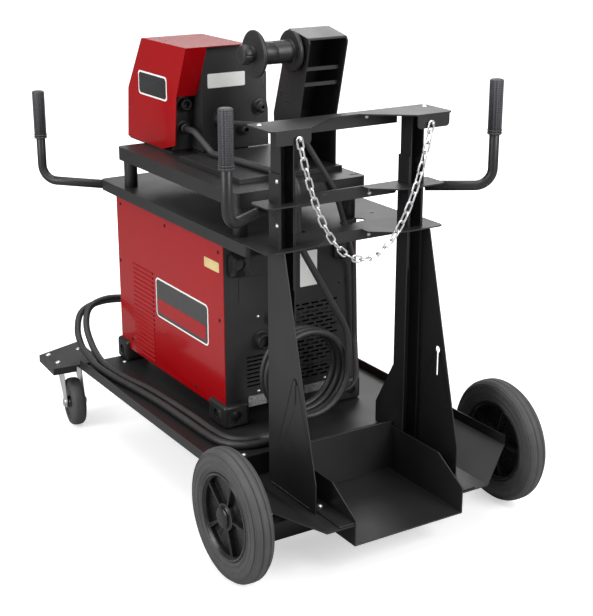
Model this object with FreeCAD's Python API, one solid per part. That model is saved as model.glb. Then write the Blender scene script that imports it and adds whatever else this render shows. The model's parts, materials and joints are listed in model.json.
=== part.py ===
import FreeCAD, Part
import math
import os
from FreeCAD import Vector

# Wheeled cart carrying an inverter welding power source, a bench wire feeder, a spool mast
# and a low gas cylinder platform. Millimetres.
# +X is the cart's own left, +Y the rear (big wheels, cylinder platform), +Z up.
# The ground is z = 0 and the rear axle is y = 0. When the files are written everything is
# shifted along Y, so that the origin lies in the middle of the footprint.

os.makedirs("parts", exist_ok=True)

AXIS_X, AXIS_Y, AXIS_Z = Vector(1, 0, 0), Vector(0, 1, 0), Vector(0, 0, 1)

# ------------------------------------------------- dimensions shared by sections ----
SHEET = 3.0                            # sheet thickness of the cart
FIT = 0.05                             # running clearance
FLOOR_Z = 120.0                        # top of the trough floor
PAN_Y0 = -895.0                        # front end of the base pan
DECK_Z = 170.0                         # top of the deck plate
TRAY_X = 140.0                         # half width of the cylinder tray
TRAY_Y0, TRAY_Y1 = -128.0, 134.0
UPRIGHT_X0, UPRIGHT_X1 = 142.0, 182.0  # inner and outer faces of an upright
UPRIGHT_Y0, UPRIGHT_Y1 = -131.0, -91.0
TOP_Z, MID_Z, LOW_Z = 904.5, 748.0, 654.0   # top faces of the three rear brackets
TOP_BRACKET_Y0, TOP_BRACKET_Y1 = -152.0, -50.0
SADDLE_FLAT_Y = -134.0                 # flat at the bottom of the lower two notches
SHELF1_Z, SHELF2_Z = 651.0, 748.0      # top faces of the lower shelf and feeder shelf
CASE_X = 178.0                         # half width of the power source
CASE_Y0, CASE_Y1 = -891.0, -330.0
CASE_TOP = 645.0
CASTER_X, CASTER_Y = 303.0, -955.0     # caster pivot


# ------------------------------------------------------------------- helpers ----
def box(x0, x1, y0, y1, z0, z1):
    return Part.makeBox(x1 - x0, y1 - y0, z1 - z0, Vector(x0, y0, z0))


def rod_x(radius, x0, x1, y, z):
    return Part.makeCylinder(radius, x1 - x0, Vector(x0, y, z), AXIS_X)


def rod_y(radius, y0, y1, x, z):
    return Part.makeCylinder(radius, y1 - y0, Vector(x, y0, z), AXIS_Y)


def rod_z(radius, z0, z1, x, y):
    return Part.makeCylinder(radius, z1 - z0, Vector(x, y, z0), AXIS_Z)


def face(points):
    return Part.Face(Part.makePolygon(points + points[:1]))


def prism_x(outline, x0, x1):
    """outline is (y, z)"""
    return face([Vector(x0, y, z) for y, z in outline]).extrude(Vector(x1 - x0, 0, 0))


def prism_y(outline, y0, y1):
    """outline is (x, z)"""
    return face([Vector(x, y0, z) for x, z in outline]).extrude(Vector(0, y1 - y0, 0))


def prism_z(outline, z0, z1):
    """outline is (x, y)"""
    return face([Vector(x, y, z0) for x, y in outline]).extrude(Vector(0, 0, z1 - z0))


def symmetric(half, centre=0.0, middle=()):
    """outline mirrored about centre; half is (distance from centre, other coordinate)"""
    low = [(centre - distance, other) for distance, other in half]
    high = [(centre + distance, other) for distance, other in reversed(half)]
    return low + list(middle) + high


def revolve(profile, origin, axis, radial):
    """solid of revolution; profile is (position along axis, radius)"""
    points = [origin + axis * position + radial * radius for position, radius in profile]
    return face(points).revolve(origin, axis, 360)


def fuse(first, *others):
    return first.fuse(list(others)).removeSplitter()


def cut(body, *tools):
    return body.cut(list(tools))


def mirrored(shape):
    return shape.mirror(Vector(0, 0, 0), AXIS_X)


def both(shape):
    """the +X shape and its mirror image"""
    return [shape, mirrored(shape)]


def fillet(shape, radius, pick):
    edges = [edge for edge in shape.Edges if pick(edge)]
    if not edges:
        return shape
    # Guards against a radius the kernel cannot build: the edges then stay sharp.
    try:
        return shape.makeFillet(radius, edges)
    except Exception:
        return shape


def along(edge, direction):
    if len(edge.Vertexes) != 2:
        return False
    span = edge.Vertexes[1].Point.sub(edge.Vertexes[0].Point)
    if span.Length < 1e-6:
        return False
    return abs(span.normalize().dot(direction)) > 0.999


def start_of(edge):
    return edge.Vertexes[0].Point


def rounded_box(x0, x1, y0, y1, z0, z1, radius, direction=AXIS_Z):
    """box with its four edges along direction rounded"""
    return fillet(box(x0, x1, y0, y1, z0, z1), radius, lambda e: along(e, direction))


def button_head(point, direction, radius, height, shank_radius=0, shank=0):
    """screw head seated at point, rising along direction"""
    sphere_radius = (radius * radius + height * height) / (2 * height)
    head = Part.makeSphere(sphere_radius, point + direction * (height - sphere_radius))
    head = head.common(Part.makeCylinder(radius, height + 0.01, point, direction))
    if shank:
        stem = Part.makeCylinder(shank_radius, shank, point - direction * shank, direction)
        head = fuse(head, stem)
    return head


def swept_bar(points, bends, radius, bore=0, arcs=()):
    """round bar along straight legs; bends has one radius per inner point, and arcs are
    (middle, end) points that follow the last leg"""
    points = [Vector(*point) for point in points]
    edges = []
    start = points[0]
    for before, corner, after, bend in zip(points, points[1:], points[2:], bends):
        into = (corner - before).normalize()
        out = (after - corner).normalize()
        half_angle = into.getAngle(out) / 2
        setback = bend * math.tan(half_angle)
        bend_start, bend_end = corner - into * setback, corner + out * setback
        centre = corner + (out - into).normalize() * (bend / math.cos(half_angle))
        middle = centre + (corner - centre).normalize() * bend
        edges.append(Part.makeLine(start, bend_start))
        edges.append(Part.Arc(bend_start, middle, bend_end).toShape())
        start = bend_end
    edges.append(Part.makeLine(start, points[-1]))
    start = points[-1]
    for middle, end in arcs:
        edges.append(Part.Arc(start, Vector(*middle), Vector(*end)).toShape())
        start = Vector(*end)
    path = Part.Wire(edges)
    heading = (points[1] - points[0]).normalize()

    def sweep(section_radius):
        section = Part.Wire([Part.makeCircle(section_radius, points[0], heading)])
        return path.makePipeShell([section], True, False)

    bar = sweep(radius)
    return bar.cut(sweep(bore)) if bore else bar


parts = {}


def add(name, *shapes):
    parts[name] = [solid for shape in shapes for solid in shape.Solids]


# ------------------------------------------------------- base pan and deck ----
def base_pan():
    """trough with sloping sides and upright lips, cut back at its corners"""
    half_width, lip_top = 306.0, 190.0
    lip = half_width - SHEET
    half = [(208, FLOOR_Z - SHEET), (half_width, 166), (half_width, lip_top),
            (lip, lip_top), (lip, 168), (207, FLOOR_Z)]                     # x, z
    rear_corner = prism_z([(208, 134.2), (320, 63.2), (320, 150), (208, 150)], 90, 200)
    tray_notch = box(-TRAY_X - 1.5, TRAY_X + 1.5, TRAY_Y0 - SHEET, 150, 100, 130)
    front_corner = box(296, 320, -900, -870, 168.3, 200)
    return cut(prism_y(symmetric(half), PAN_Y0, TRAY_Y1),
               *both(rear_corner), tray_notch, *both(front_corner))


def deck_plate():
    front, rear = PAN_Y0 + 2, -172.0
    underside = DECK_Z - SHEET
    return fuse(box(-300, 300, front, rear, underside, DECK_Z),
                prism_y([(-204, FLOOR_Z + 0.4), (204, FLOOR_Z + 0.4), (299, 167.6), (-299, 167.6)],
                        rear - SHEET, rear),
                box(-204, 204, front, front + SHEET, FLOOR_Z + 0.3, underside + 1))


add("base_pan", base_pan())
add("deck_plate", deck_plate())

# ------------------------------------------------------------------ casters ----
CASTER_R = 62.5
CASTER_TRAIL = 42.0
CASTER_HEADING = 8.0     # degrees from +Y towards +X
FORK_X = 22.0            # inner face of a fork arm
CASTER_PIN_R = 6.0
HUB_R = 46.0
WHEEL_CENTRE = Vector(0, CASTER_TRAIL, CASTER_R)


def caster_bolt_places(side):
    return [(side * CASTER_X + i * 42.5, CASTER_Y + j * 32.5) for i in (-1, 1) for j in (-1, 1)]


def caster_bolt_holes(side):
    return [rod_z(4.5, 160, 180, x, y) for x, y in caster_bolt_places(side)]


def caster_wing():
    """plate with a turned-down rim, carrying one caster"""
    outer = [(238, -1045), (366, -1000), (373, -884), (300, -878), (238, -878)]
    inner = [(241, -1040.8), (363.1, -997.9), (369.8, -886.8), (300, -881), (241, -881)]
    wing = cut(prism_z(outer, 156, 174), prism_z(inner, 150, 170),
               box(200, 312, -897, -860, 150, 170), box(230, 246, -1060, -860, 150, 170))
    return cut(wing, *caster_bolt_holes(1))


def caster_plate(side):
    """bolted plate with bearing race, pivot pin and nut"""
    x, y = side * CASTER_X, CASTER_Y
    plate = rounded_box(x - 51, x + 51, y - 43, y + 43, 167.3, 169.9, 6)
    plate = cut(plate, *caster_bolt_holes(side))
    race = revolve([(158, 20), (161, 27), (167.3, 31), (167.3, 0), (158, 0)],
                   Vector(x, y, 0), AXIS_Z, AXIS_X)
    return fuse(plate, race, rod_z(CASTER_PIN_R, 144.6, 160, x, y), rod_z(10.5, 139, 144.6, x, y))


# The swivelling pieces are built about the pivot, trailing along +Y.
def caster_fork():
    outline = [(-30, 156.6), (34, 156.6), (40, 128), (57, 72), (55, 56),
               (44, 48), (32, 54), (16, 84), (-20, 122), (-30, 140)]        # y, z
    arm = prism_x(outline, FORK_X, FORK_X + SHEET)
    outside = FORK_X + SHEET
    crown = rounded_box(-outside, outside, -30, 34, 150, 156.6, 8)
    ring = cut(rod_z(29, 153.5, 157.4, 0, 0), rod_z(12, 150, 160, 0, 0))
    fork = fuse(crown, *both(arm), ring)
    fork = cut(fork, rod_z(CASTER_PIN_R + FIT, 140, 170, 0, 0))
    return cut(fork, rod_x(6.0, -40, 40, CASTER_TRAIL, CASTER_R))


def caster_bolt():
    end, seat = FORK_X + 8, FORK_X + SHEET + FIT
    return fuse(rod_x(5.95, -end, end, CASTER_TRAIL, CASTER_R),
                rod_x(9.5, seat, end, CASTER_TRAIL, CASTER_R),
                rod_x(9.5, -end, -seat, CASTER_TRAIL, CASTER_R))


def caster_hub():
    half = [(20.5, 6.0), (20.5, 13), (15, 17), (15, 36), (17, 38), (17, 43), (12.5, HUB_R)]
    return revolve(symmetric(half), WHEEL_CENTRE, AXIS_X, AXIS_Z)


def caster_tyre():
    half = [(12.5, HUB_R + FIT), (17.3, 43.3), (18, 50), (16, 57), (11, 61), (5, CASTER_R - 0.3)]
    return revolve(symmetric(half, middle=[(0, CASTER_R)]), WHEEL_CENTRE, AXIS_X, AXIS_Z)


def on_pivot(shape, side):
    shape.rotate(Vector(0, 0, 0), AXIS_Z, -CASTER_HEADING)
    shape.translate(Vector(side * CASTER_X, CASTER_Y, 0))
    return shape


add("caster_wings", *both(caster_wing()))
for side_name, side in (("left", 1), ("right", -1)):
    add("caster_fork_" + side_name, on_pivot(caster_fork(), side), on_pivot(caster_bolt(), side))
    add("caster_hub_" + side_name, on_pivot(caster_hub(), side))
    add("caster_tyre_" + side_name, on_pivot(caster_tyre(), side))
add("caster_plates", caster_plate(1), caster_plate(-1))

# -------------------------------------------------- rear axle and big wheels ----
WHEEL_R = 142.0
WHEEL_X0, WHEEL_X1 = 328.0, 376.0      # inner and outer faces of the left wheel
AXLE_R = 10.0
AXLE_CENTRE = Vector(0, 0, WHEEL_R)


def rear_axle():
    """channel beam open downwards, with end plates, stub axles and spacers"""
    beam = cut(box(-283, 283, -80, -40, 28, 69.8), box(-280, 280, -77, -43, 20, 66.8))
    end_plate = prism_x([(-80, 28), (-40, 28), (22, 118), (22, 152.8), (-24, 152.8), (-80, 69.8)],
                        283, 289)
    return fuse(beam, *both(end_plate),
                rod_x(AXLE_R, 284, 371, 0, WHEEL_R), rod_x(AXLE_R, -371, -284, 0, WHEEL_R),
                rod_x(15, 289, 321.5, 0, WHEEL_R), rod_x(15, -321.5, -289, 0, WHEEL_R))


def wheel_tyre():
    """tyre with two shallow grooves round the tread"""
    centre = (WHEEL_X0 + WHEEL_X1) / 2
    half = [(20, 93.5), (22.5, 99), (24, 112), (23, 126), (19, 135), (13, 140),
            (9.5, WHEEL_R - 0.6), (9, WHEEL_R - 3.2), (7, WHEEL_R - 3.2), (6.5, WHEEL_R - 0.3)]
    return revolve(symmetric(half, centre, [(centre, WHEEL_R)]), AXLE_CENTRE, AXIS_X, AXIS_Z)


def wheel_rim():
    """rim, web and hub, with ten ribs on each face of the web"""
    inner, outer = WHEEL_X0, WHEEL_X1
    bore = AXLE_R + FIT
    profile = [(inner + 5, 93.4), (outer - 5, 93.4), (outer - 3, 92), (outer - 3, 88),
               (outer - 9, 83), (outer - 19, 82), (outer - 19, 30), (outer - 8, 27),
               (outer - 4, 24), (outer - 4, bore), (inner - 6, bore), (inner - 6, 24),
               (outer - 23, 30), (outer - 23, 82), (inner + 9, 83), (inner + 3, 88),
               (inner + 3, 92)]
    limit = revolve([(inner - 5, 23.9), (inner - 5, 84), (outer - 6, 84), (outer - 6, 23.9)],
                    AXLE_CENTRE, AXIS_X, AXIS_Z)
    ribs = []
    for i in range(10):
        rib = box(outer - 20, outer - 8, -1.6, 1.6, 24, 84)
        rib = rib.fuse(box(inner + 10, outer - 22, -1.6, 1.6, 24, 84))
        # neighbours are turned towards each other, so the ribs stand in pairs
        rib.rotate(Vector(0, 0, 0), AXIS_X, i * 36.0 + (20 if i % 2 else -20))
        rib.translate(AXLE_CENTRE)
        ribs.append(rib.common(limit))
    return fuse(revolve(profile, AXLE_CENTRE, AXIS_X, AXIS_Z), *ribs)


def wheel_cap():
    face_x = WHEEL_X1
    return revolve([(face_x - 3.9, 0), (face_x - 3.9, 23), (face_x - 1, 23), (face_x + 1.6, 19),
                    (face_x + 3.0, 12), (face_x + 3.4, 0)], AXLE_CENTRE, AXIS_X, AXIS_Z)


add("rear_axle", rear_axle())
tyres, rims, caps = both(wheel_tyre()), both(wheel_rim()), both(wheel_cap())
for side_name, tyre, rim, cap in zip(("left", "right"), tyres, rims, caps):
    add("tyre_" + side_name, tyre)
    add("wheel_rim_" + side_name, rim, cap)


# ------------------------------------------------------------ cylinder tray ----
def cylinder_tray():
    top = 73.0
    bottom = top - SHEET
    side_plate = prism_x([(TRAY_Y0, bottom), (TRAY_Y1, bottom), (TRAY_Y1, 130), (48, 180),
                          (TRAY_Y0, 180)], TRAY_X - SHEET, TRAY_X)
    flange = box(TRAY_X - 0.5, 176, -86, 131, FLOOR_Z + 0.1, FLOOR_Z + SHEET)
    front_wall = box(-TRAY_X, TRAY_X, TRAY_Y0, TRAY_Y0 + SHEET, bottom, 192)
    return fuse(box(-TRAY_X, TRAY_X, TRAY_Y0, TRAY_Y1, bottom, top),
                *both(side_plate), front_wall, *both(flange))


add("cylinder_tray", cylinder_tray())


# ------------------------------------------------- uprights and rear brackets ----
def channel(x0, x1, y0, y1, z0, z1, wall):
    """upright channel open to the rear"""
    return cut(box(x0, x1, y0, y1, z0, z1),
               box(x0 + wall, x1 - wall, y0 + wall, y1 + 1, z0 - 1, z1 + 1))


def upright():
    body = channel(UPRIGHT_X0, UPRIGHT_X1, UPRIGHT_Y0, UPRIGHT_Y1, FLOOR_Z + 0.1, 808, SHEET)
    foot = prism_x([(UPRIGHT_Y0 + 1, 330), (UPRIGHT_Y0 + 1, DECK_Z + 0.2), (-196, DECK_Z + 0.2),
                    (-196, 216)], UPRIGHT_X0, UPRIGHT_X0 + SHEET)
    return fuse(body, foot)


def upright_extension():
    inset = SHEET + 0.2
    return channel(UPRIGHT_X0 + inset, UPRIGHT_X1 - inset, UPRIGHT_Y0 + inset, UPRIGHT_Y1,
                   560, TOP_Z - SHEET - 0.1, 2.5)


def side_gusset():
    """tapering side plate with a keyhole"""
    top, bottom = LOW_Z - SHEET - 0.2, FLOOR_Z + 0.1
    x0 = UPRIGHT_X1 + 0.1
    plate = prism_x([(UPRIGHT_Y0, top), (-66, top), (54, 185), (54, bottom),
                     (UPRIGHT_Y0, bottom)], x0, x0 + SHEET)
    keyhole = fuse(rod_x(7.5, 170, 200, -24, 388), box(170, 200, -27, -21, 330, 388),
                   rod_x(3, 170, 200, -24, 330))
    return cut(plate, keyhole)


BRACKET_X = 223.0        # half width of the rear brackets


def notched_plate(half, z):
    """bracket plate below z with its outer corners rounded; half is (x, y)"""
    plate = prism_z(symmetric(half), z - SHEET, z)
    return fillet(plate, 12, lambda e: along(e, AXIS_Z)
                  and abs(abs(start_of(e).x) - BRACKET_X) < 0.1)


def hanging_flange(x0, x1, y1, z, drop, radius):
    """flange turned down from a plate at z, ending at y1, its lower corners rounded"""
    flange = box(x0, x1, y1 - SHEET, y1, z - drop, z - SHEET + 0.5)
    return fillet(flange, radius, lambda e: along(e, AXIS_Y) and start_of(e).z < z - drop + 1)


def bracket_top():
    """plate with a V notch open to the rear, one front and two rear flanges"""
    y0, y1, z = TOP_BRACKET_Y0, TOP_BRACKET_Y1, TOP_Z
    plate = notched_plate([(34, -126), (131, y1), (BRACKET_X, y1), (BRACKET_X, y0)], z)
    plate = fuse(plate, box(-150, 150, y0, y0 + SHEET, z - 33, z - SHEET + 0.5))
    return fuse(plate, *both(hanging_flange(131, 213, y1, z, 30, 8)))


def saddle(z, front, rear, lip, slotted=False):
    """plate whose notch has a flat with a down-turned lip, then opens to the rear"""
    flat = SADDLE_FLAT_Y
    plate = notched_plate([(51, flat), (51, -109), (98, rear - 6), (131, rear),
                           (BRACKET_X, rear), (BRACKET_X, front)], z)
    flange = hanging_flange(-141, 141, flat, z, lip, 6)
    if slotted:
        slot = box(68, 71.5, flat - 9, flat + 9, z - 11.5, z - SHEET - 1.5)
        flange = cut(flange, *both(slot))
    gap = 0.6
    passage = box(UPRIGHT_X0 - gap, UPRIGHT_X1 + gap, UPRIGHT_Y0 - gap, UPRIGHT_Y1 + gap,
                  z - SHEET - 1, z + 1)
    return cut(fuse(plate, flange), *both(passage))


add("uprights", *both(upright()))
add("upright_extensions", *both(upright_extension()))
add("side_gussets", *both(side_gusset()))
add("bracket_top", bracket_top())
add("bracket_middle", saddle(MID_Z, front=-138, rear=-66.0, lip=26, slotted=True))
add("bracket_lower", saddle(LOW_Z, front=-174, rear=-68.0, lip=24))

# ------------------------------------------------------------------ handles ----
HANDLE_R = 11.0
# x and y of the foot, x and y of the upright leg, z of the foot, z of the tube's top
REAR_HANDLE = (205, -116, 329, -40, 733.4, 957)
FRONT_HANDLE = (198, -866, 321, -1009, 636.4, 854)


def handle_tube(foot_x, foot_y, leg_x, leg_y, foot_z, top_z):
    return swept_bar([(foot_x, foot_y, foot_z), (leg_x, leg_y, foot_z), (leg_x, leg_y, top_z)],
                     [38], HANDLE_R, bore=8.5)


def handle_grip(handle):
    x, y, tube_top = handle[2], handle[3], handle[5]
    top = tube_top + 7
    bottom = top - 118
    grip = cut(rod_z(15, bottom, top, x, y), rod_z(HANDLE_R, bottom - 1, top - 6, x, y))
    return fillet(grip, 4, lambda e: abs(e.BoundBox.ZMin - top) < 0.1
                  and abs(e.BoundBox.ZMax - top) < 0.1)


def handle_passage(foot_x, foot_y, leg_x, leg_y, foot_z, top_z):
    """tool that clears a handle's horizontal leg"""
    direction = Vector(leg_x - foot_x, leg_y - foot_y, 0).normalize()
    return Part.makeCylinder(HANDLE_R + 0.3, 200, Vector(foot_x, foot_y, foot_z), direction)


add("handle_tubes", *both(handle_tube(*REAR_HANDLE)), *both(handle_tube(*FRONT_HANDLE)))
add("handle_grips", *both(handle_grip(REAR_HANDLE)), *both(handle_grip(FRONT_HANDLE)))


# ------------------------------------------------------------------ shelves ----
def shelf(x0, x1, y0, y1, top, corner, drop):
    """plate with a rim turned down all round"""
    inner = SHEET
    plate = rounded_box(x0, x1, y0, y1, top - SHEET, top, corner)
    rim = cut(rounded_box(x0, x1, y0, y1, top - drop, top - SHEET, corner),
              rounded_box(x0 + inner, x1 - inner, y0 + inner, y1 - inner,
                          top - drop - 4, top, corner - inner))
    return fuse(plate, rim)


def lower_shelf():
    half_width, front, rear = 220.0, -883.0, -162.0
    z0, z1 = 640, 660
    plate = shelf(-half_width, half_width, front, rear, SHELF1_Z, 14, 26)
    # long oblique opening: two round ends and the band between them
    oblique = [rod_z(14, z0, z1, -56, -200), rod_z(14, z0, z1, -98, -213),
               prism_z([(-51.9, -186.6), (-60.1, -213.4), (-102.1, -226.4), (-93.9, -199.6)],
                       z0, z1)]
    front_opening = box(-182, 182, front - 1, front + 8, 600, SHELF1_Z - SHEET)
    plate = cut(plate, rod_z(15, z0, z1, 70, -190), *oblique, front_opening,
                box(-162, -150, -247, -243, z0, z1))
    # the front handle legs pass through the rim
    return cut(plate.Solids[0], *both(handle_passage(*FRONT_HANDLE)))


def shelf_posts():
    places = [(190, -767), (-96, -767), (190, -234), (-96, -252)]
    return [cut(rod_z(16, SHELF1_Z + FIT, SHELF2_Z - SHEET - FIT, x, y), rod_z(13, 600, 800, x, y))
            for x, y in places]


def feeder_shelf():
    return cut(shelf(-116.0, 211.0, -793.0, -212.0, SHELF2_Z, 10, 32),
               box(-112, -88, -238, -233, 740, 760))


def mast_base():
    """raised base under the mast and behind the feeder"""
    return cut(box(-100, 164, -560, -282, SHELF2_Z + FIT, SHELF2_Z + 12),
               box(-97, 161, -557, -285, SHELF2_Z - 1, SHELF2_Z + 9))


add("lower_shelf", lower_shelf())
add("shelf_posts", *shelf_posts())
add("feeder_shelf", feeder_shelf())
add("mast_base", mast_base())

# ---------------------------------------------------------- mast and spindle ----
SPINDLE = Vector(0, -312.0, 1016.0)    # point on the spool axis, which runs along X
MAST_X0, MAST_X1 = -95.0, 4.0
SHAFT_R = 12.5


def spool_mast():
    """channel open to the rear, its upper part leaning back"""
    foot = SHELF2_Z + 12 + FIT
    outer = [(-400, foot), (-300, foot), (-300, 862), (-257, 1036), (-262, 1046),
             (-340, 1062), (-404, 869)]                                     # y, z
    inner = [(-397, foot - 1), (-200, foot - 1), (-200, 1030), (-337.4, 1058.6), (-400.8, 869)]
    mast = fillet(prism_x(outer, MAST_X0, MAST_X1), 9,
                  lambda e: along(e, AXIS_X) and start_of(e).z > 1040)
    mast = cut(mast, prism_x(inner, MAST_X0 + SHEET, MAST_X1 - SHEET),
               box(-74, -32, -420, -380, 800, 812),
               rod_x(4, MAST_X1 - 5, MAST_X1 + 5, -372, 830))
    mast = cut(mast, rod_x(13.0, -10, 10, SPINDLE.y, SPINDLE.z))
    return cut(mast, rod_x(4, 0, 5, -372, 915), rod_x(4, 0, 5, -345, 898))


def mast_ties():
    """two square bars across the inside of the mast"""
    x0, x1 = MAST_X0 + SHEET + FIT, MAST_X1 - SHEET - FIT
    return [box(x0, x1, y, y + 8, z, z + 8) for y, z in ((-294, 974), (-300, 940))]


def on_spindle(profile):
    return revolve(profile, SPINDLE, AXIS_X, AXIS_Z)


def spindle_knob():
    """knob with eight flutes"""
    knob = on_spindle([(118.6, 0), (118.6, 17), (121, 21), (134, 21), (139, 18), (141, 12),
                       (141, 0)])
    angles = [k * math.pi / 4 for k in range(8)]
    flutes = [rod_x(3.2, 117, 145, SPINDLE.y + 22.5 * math.cos(angle),
                    SPINDLE.z + 22.5 * math.sin(angle)) for angle in angles]
    return cut(knob, *flutes)


add("spool_mast", spool_mast(), *mast_ties())
# collars either side of the mast wall, then the shaft
add("spindle_shaft", on_spindle([
    (-10, 0), (-10, 20), (1, 20), (1, 12.9), (4.1, 12.9), (4.1, 20), (10, 20),
    (10, SHAFT_R), (118, SHAFT_R), (118, 0)]))
add("spool_hub", on_spindle([
    (10.2, SHAFT_R + FIT), (10.2, 44), (13, 45), (18, 45), (20, 43), (20, 27), (22, 24.5),
    (60, 24.5), (62, 23), (64, 24.5), (98, 24.5), (98, SHAFT_R + FIT)]))
add("spool_retainer", on_spindle([
    (98.2, 13), (98.2, 30), (101, 47), (104, 50), (108, 50), (110, 47), (110, 30),
    (112, 18), (118.4, 18), (118.4, 13)]))
add("spindle_knob", spindle_knob())

# ------------------------------------------------------------- power source ----
LINER_X = CASE_X - 2.1                 # half width of what fits inside the cover
REAR_PANEL_Y = CASE_Y1 - 7.9           # front faces of the two end panels
FRONT_PANEL_Y = CASE_Y0 + 5.4
PANEL = 2.5                            # end panel thickness
KNOB_X, KNOB_Z = 60.0, 560.0
SWITCH_X, SWITCH_Z = -80.0, 560.0
FAN_X, FAN_Z = -64.0, 344.0
FAN_SHAFT_R = 3.0


def case_cover():
    """cover open below and at both ends, with louvre slots in its sides"""
    def is_top(edge):
        return along(edge, AXIS_Y) and start_of(edge).z > 600

    outer = fillet(box(-CASE_X, CASE_X, CASE_Y0 + 5, CASE_Y1 - 5, 206, CASE_TOP), 10, is_top)
    inner = fillet(box(-CASE_X + 2, CASE_X - 2, CASE_Y0 - 1, CASE_Y1 + 1, 100, CASE_TOP - 2),
                   8, is_top)
    levels = [216 + k * 12.0 for k in range(20)]
    return cut(cut(outer, inner), *[box(-200, 200, -800, -690, z, z + 4.5) for z in levels])


def case_base():
    y0, y1 = CASE_Y0 + 8, CASE_Y1 - 8
    return fuse(box(-LINER_X, LINER_X, y0, y1, 206, 209),
                box(-150, 150, y0, y0 + SHEET, 208, 240), box(-150, 150, y1 - SHEET, y1, 208, 240))


def end_panel(y):
    return rounded_box(-LINER_X, LINER_X, y, y + PANEL, 206, CASE_TOP - 2.1, 9.5, AXIS_Y)


def case_rear_panel():
    y = REAR_PANEL_Y
    # staggered short slots behind the fan, plain louvre slots on the other side
    vents = []
    for row in range(19):
        odd = row % 2
        z = 248 + row * 10
        for column in range(5 - odd):
            x = -126 + column * 26 + 13 * odd
            vents.append(box(x, x + 20, y - 1, y + 4, z, z + 4.5))
    vents += [box(56, 120, y - 1, y + 4, 256 + k * 10, 260 + k * 10) for k in range(8)]
    raised_plate = rounded_box(78, 139, y + 2.4, y + 4.0, 463, 521, 5, AXIS_Y)
    return fuse(cut(end_panel(y), *vents), raised_plate)


def case_front_panel():
    y0, y1 = FRONT_PANEL_Y - 5, FRONT_PANEL_Y + 5
    return cut(end_panel(FRONT_PANEL_Y), rod_y(4 + FIT, y0, y1, KNOB_X, KNOB_Z),
               box(SWITCH_X - 12, SWITCH_X + 12, y0, y1, SWITCH_Z - 17, SWITCH_Z + 17))


def output_knob():
    y = FRONT_PANEL_Y
    cap = fillet(rod_y(20, y - 22, y - 1, KNOB_X, KNOB_Z), 2, lambda e: e.BoundBox.YMax < y - 21)
    pointer = box(KNOB_X - 1.5, KNOB_X + 1.5, y - 24, y - 20, KNOB_Z, KNOB_Z + 18)
    return fuse(cap, rod_y(4.0, y - 2, y + 12, KNOB_X, KNOB_Z), pointer)


def mains_switch():
    y, z = FRONT_PANEL_Y, SWITCH_Z
    return prism_x([(y - 9, z - 16), (y - 5, z), (y - 9, z + 16), (y + 3, z + 13), (y + 12, z),
                    (y + 3, z - 13)], SWITCH_X - 11.5, SWITCH_X + 11.5)


def case_bumpers():
    """four feet that wrap the lower corners, and four pads on the end panels"""
    case = box(-CASE_X - FIT, CASE_X + FIT, CASE_Y0 + 4.95, CASE_Y1 - 4.95, 205.9, 400)
    bumpers = []
    for side in (1, -1):
        outside = side * (CASE_X + 9)
        for end_y, inward, length in ((CASE_Y1 + 10, -1, 84), (CASE_Y0 - 8, 1, 60)):
            y0, y1 = sorted((end_y, end_y + inward * length))
            x0, x1 = sorted((side * 122, outside))
            foot = fillet(box(x0, x1, y0, y1, DECK_Z + 0.1, 226), 9, lambda e: True)
            end_recess = rod_y(12, end_y - 4, end_y + 4, (x0 + x1) / 2 + side * 3, 198)
            side_recess = rod_x(12, outside - 4, outside + 4, (y0 + y1) / 2, 198)
            bumpers.append(cut(foot, case, end_recess, side_recess))
        for seat_y, outward in ((CASE_Y1 - 4.95, 1), (CASE_Y0 + 4.95, -1)):
            y0, y1 = sorted((seat_y, seat_y + outward * 8.95))
            x0, x1 = sorted((side * 112, side * 166))
            pad = rounded_box(x0, x1, y0, y1, 527, 583, 13, AXIS_Y)
            recess_y0, recess_y1 = sorted((seat_y + outward * 4, seat_y + outward * 28.95))
            bumpers.append(pad.cut(rod_y(13, recess_y0, recess_y1, (x0 + x1) / 2, 555)))
    return bumpers


def transformer_core():
    return cut(box(-60, 60, -760, -650, 209.1, 330), box(-20, 20, -800, -600, 235, 305))


def transformer_coil():
    """bar through the core's window with a cheek at each end"""
    cheeks = [rounded_box(-58, 58, y0, y1, 236, 304, 12, AXIS_Y)
              for y0, y1 in ((-800, -761), (-649, -612))]
    return fuse(*cheeks, box(-19, 19, -762, -648, 240, 300))


def heat_sink():
    """finned plate on two side legs"""
    y0, y1 = -600, -420
    fins = [box(-104 + k * 16, -101 + k * 16, y0, y1, 220, 251) for k in range(14)]
    return fuse(box(-110, 110, y0, y1, 250, 258), box(-110, -106, y0, y1, 209.1, 251),
                box(106, 110, y0, y1, 209.1, 251), *fins)


def inverter_board():
    pillars = [rod_z(3, 258.1, 271, x, y) for x in (-92, 92) for y in (-588, -432)]
    board = fuse(box(-100, 100, -596, -424, 270, 272), *pillars)
    cans = [rod_z(14, 271.5, 318, -60 + 34 * k, -450) for k in range(4)]
    return fuse(board, *cans, box(-80, -40, -570, -500, 271.5, 300),
                box(10, 70, -560, -520, 271.5, 292))


def fan_motor():
    """square frame, crossed struts, motor and shaft"""
    x, y, z = FAN_X, REAR_PANEL_Y, FAN_Z
    frame = cut(rounded_box(x - 68, x + 68, y - 40, y - 0.1, z - 68, z + 68, 8, AXIS_Y),
                rod_y(63, y - 60, y + 1, x, z))
    return fuse(frame, box(x - 66, x + 66, y - 40, y - 36, z - 4, z + 4),
                box(x - 4, x + 4, y - 40, y - 36, z - 66, z + 66),
                rod_y(20, y - 52, y - 32, x, z), rod_y(FAN_SHAFT_R, y - 33, y - 7, x, z))


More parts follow.
